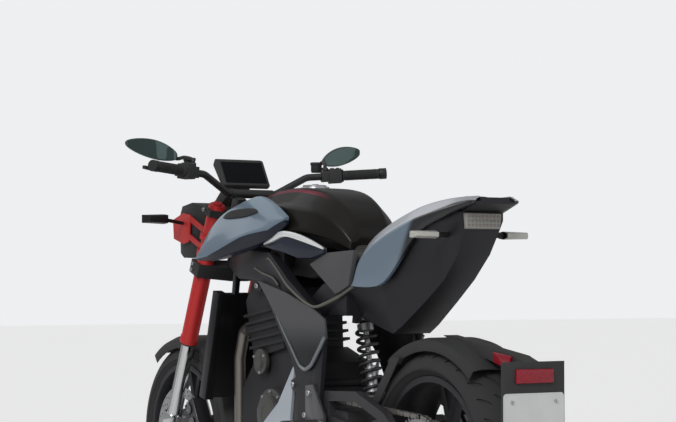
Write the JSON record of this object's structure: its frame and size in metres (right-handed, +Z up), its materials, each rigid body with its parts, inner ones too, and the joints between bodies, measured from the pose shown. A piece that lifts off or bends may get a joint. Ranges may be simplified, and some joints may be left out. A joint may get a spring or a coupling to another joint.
{
  "type": "standard motorcycle",
  "caption": "Naked standard motorcycle with faceted tank and shrouds, upswept tail, cast wheels, chain drive, centre stand and side stand.",
  "frame": {"origin": "on the floor in the mid plane, midway between the front tyre's front and the plate holder's back", "axes": "+X forward, +Y to the rider's left, +Z up"},
  "size_m": [2.1029, 0.856, 1.24],
  "materials": {
    "wheel_paint": "satin black",
    "tyre_rubber": "matt",
    "disc_steel": "turned",
    "sprocket_steel": "oiled",
    "chain_steel": "oiled",
    "black_metal": "satin black",
    "fork_red": "anodised red",
    "fork_chrome": "polished",
    "axle_steel": "turned",
    "caliper_metal": "anodised dark",
    "body_blue": "grey-blue gloss",
    "grip_rubber": "ribbed",
    "black_plastic": "textured",
    "mirror_shell": "dark green-grey gloss",
    "clear_lens": "clear",
    "signal_lens": "clear smoke",
    "frame_black": "satin black",
    "tank_dark": "near-black gloss",
    "cap_metal": "satin",
    "seat_vinyl": "grained",
    "engine_dark": "painted dark grey",
    "cover_metal": "satin",
    "radiator_metal": "painted black",
    "exhaust_steel": "heat tinted, dark",
    "muffler_metal": "satin",
    "pan_silver": "silver satin",
    "swingarm_metal": "satin dark",
    "lamp_red": "gloss red",
    "alloy": "satin",
    "shock_spring": "dark satin",
    "cover_grey": "grained satin grey"
  },
  "bodies": {
    "chassis": {"steering_head": "frame_black", "frame_spars": "frame_black", "tail_frame": "frame_black", "side_panels": "body_blue", "fuel_tank": "tank_dark", "tank_shrouds": "body_blue", "seat_rider": "seat_vinyl", "seat_pillion": "seat_vinyl", "engine_case": "engine_dark", "engine_top": "engine_dark", "engine_covers": "cover_metal", "radiator": "radiator_metal", "exhaust_headers": "exhaust_steel", "muffler": "muffler_metal", "belly_pan": "pan_silver", "swingarm": "swingarm_metal", "rear_axle": "axle_steel", "rear_caliper": "caliper_metal", "rear_mudguard": "black_plastic", "rear_lamps": "lamp_red", "rear_signals": "signal_lens", "footrests": "alloy", "rear_shock": "shock_spring", "chain": "chain_steel", "side_covers": "cover_grey", "air_box": "black_plastic"},
    "steering": {"fork_yokes": "black_metal", "fork_tubes": "fork_red", "fork_sliders": "fork_chrome", "front_axle": "axle_steel", "front_calipers": "caliper_metal", "front_fender": "black_plastic", "handlebar": "black_metal", "grips": "grip_rubber", "bar_controls": "black_plastic", "mirrors": "mirror_shell", "headlamp": "black_plastic", "headlamp_lens": "clear_lens", "front_signals": "signal_lens", "lamp_stays": "fork_red", "instruments": "black_plastic"},
    "front_wheel": {"front_wheel": "wheel_paint", "front_tyre": "tyre_rubber", "front_discs": "disc_steel"},
    "rear_wheel": {"rear_wheel": "wheel_paint", "rear_tyre": "tyre_rubber", "rear_disc": "disc_steel", "rear_sprocket": "sprocket_steel"},
    "centre_stand": {"centre_stand": "frame_black"},
    "side_stand": {"side_stand": "frame_black"},
    "fuel_cap": {"fuel_cap": "cap_metal"}
  },
  "joints": [
    {"name": "steering_turn", "type": "hinge", "parent": "chassis", "child": "steering", "pos_m": [0.72215, 0, 0.28724], "axis": [-0.3987, 0, 0.9171], "range_deg": [-30, 30]},
    {"name": "front_wheel_spin", "type": "hinge", "parent": "steering", "child": "front_wheel", "pos_m": [0.7515, 0, 0.3], "axis": [0, 1, 0], "continuous": true},
    {"name": "rear_wheel_spin", "type": "hinge", "parent": "chassis", "child": "rear_wheel", "pos_m": [-0.6885, 0, 0.315], "axis": [0, 1, 0], "continuous": true},
    {"name": "centre_stand_fold", "type": "hinge", "parent": "chassis", "child": "centre_stand", "pos_m": [-0.2085, 0, 0.3], "axis": [0, 1, 0], "range_deg": [0, 75]},
    {"name": "side_stand_swing", "type": "hinge", "parent": "chassis", "child": "side_stand", "pos_m": [-0.1685, 0.176, 0.312], "axis": [0, -0.9583, -0.2857], "range_deg": [0, 100]},
    {"name": "fuel_cap_lid", "type": "hinge", "parent": "chassis", "child": "fuel_cap", "pos_m": [0.0565, 0, 1.081], "axis": [0, 1, 0], "range_deg": [0, 95]}
  ]
}
